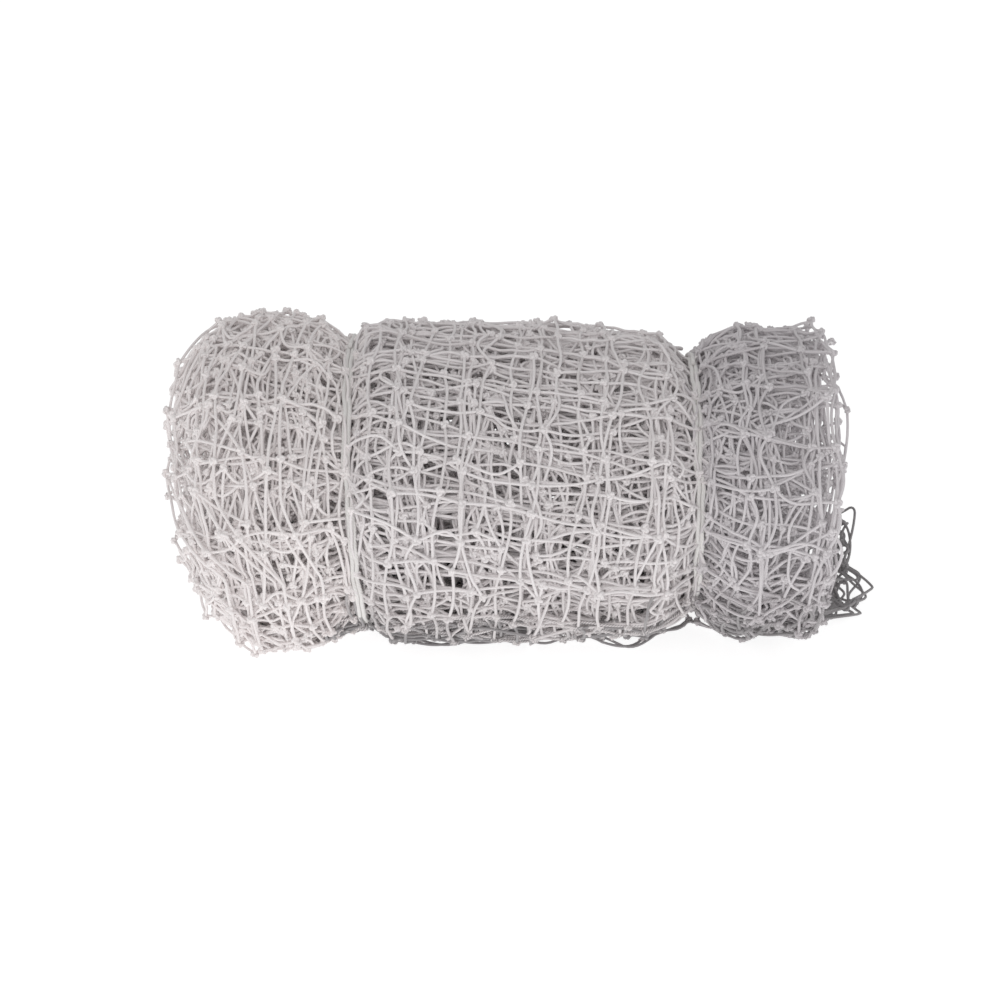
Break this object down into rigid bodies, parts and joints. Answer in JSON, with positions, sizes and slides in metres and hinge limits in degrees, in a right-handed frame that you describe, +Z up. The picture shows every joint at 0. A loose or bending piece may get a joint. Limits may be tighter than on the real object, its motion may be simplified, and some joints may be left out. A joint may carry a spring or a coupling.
{
  "type": "tennis net",
  "caption": "White knotted square-mesh tennis net, folded in half, rolled into a soft bundle and held by two cord ties",
  "frame": {"origin": "middle of the underside of the bundle's box, on the surface it lies on", "axes": "+X along the bundle from the folded end to the end with the open edges, +Y towards its back, +Z up"},
  "size_m": [0.4937, 0.28, 0.213],
  "materials": {
    "netting_warm": "matt off-white twisted twine, warmer where the net is folded",
    "netting": "matt off-white twisted twine",
    "netting_cool": "matt off-white twisted twine, greyer at the open edges",
    "tie_cord": "matt white braided cord"
  },
  "bodies": {
    "centre": {"centre_netting": "netting", "free_edge_meshes": "netting_cool"},
    "left_tie": {"left_neck_netting": "netting", "left_tie_wraps": "tie_cord", "left_tie_knot": "tie_cord", "left_tie_upper_tail": "tie_cord", "left_tie_lower_tail": "tie_cord"},
    "left_end": {"left_end_netting": "netting_warm"},
    "right_tie": {"right_neck_netting": "netting", "right_tie_wraps": "tie_cord", "right_tie_knot": "tie_cord", "right_tie_upper_tail": "tie_cord", "right_tie_lower_tail": "tie_cord"},
    "right_end": {"right_end_netting": "netting_cool"},
    "loose_corner": {"loose_corner_meshes": "netting_cool"}
  },
  "joints": [
    {"name": "left_neck_swing", "type": "hinge", "parent": "centre", "child": "left_tie", "pos_m": [-0.11, 0, 0.1], "axis": [0, 0, 1], "range_deg": [-8, 8]},
    {"name": "left_neck_lift", "type": "hinge", "parent": "left_tie", "child": "left_end", "pos_m": [-0.11, 0, 0.1], "axis": [0, 1, 0], "range_deg": [-8, 8]},
    {"name": "right_neck_swing", "type": "hinge", "parent": "centre", "child": "right_tie", "pos_m": [0.122, 0, 0.1], "axis": [0, 0, 1], "range_deg": [-8, 8]},
    {"name": "right_neck_lift", "type": "hinge", "parent": "right_tie", "child": "right_end", "pos_m": [0.122, 0, 0.1], "axis": [0, 1, 0], "range_deg": [-8, 8]},
    {"name": "loose_corner_lift", "type": "hinge", "parent": "right_end", "child": "loose_corner", "pos_m": [0.223, 0.0225, 0.0025], "axis": [0, -1, 0], "range_deg": [0, 60]}
  ]
}
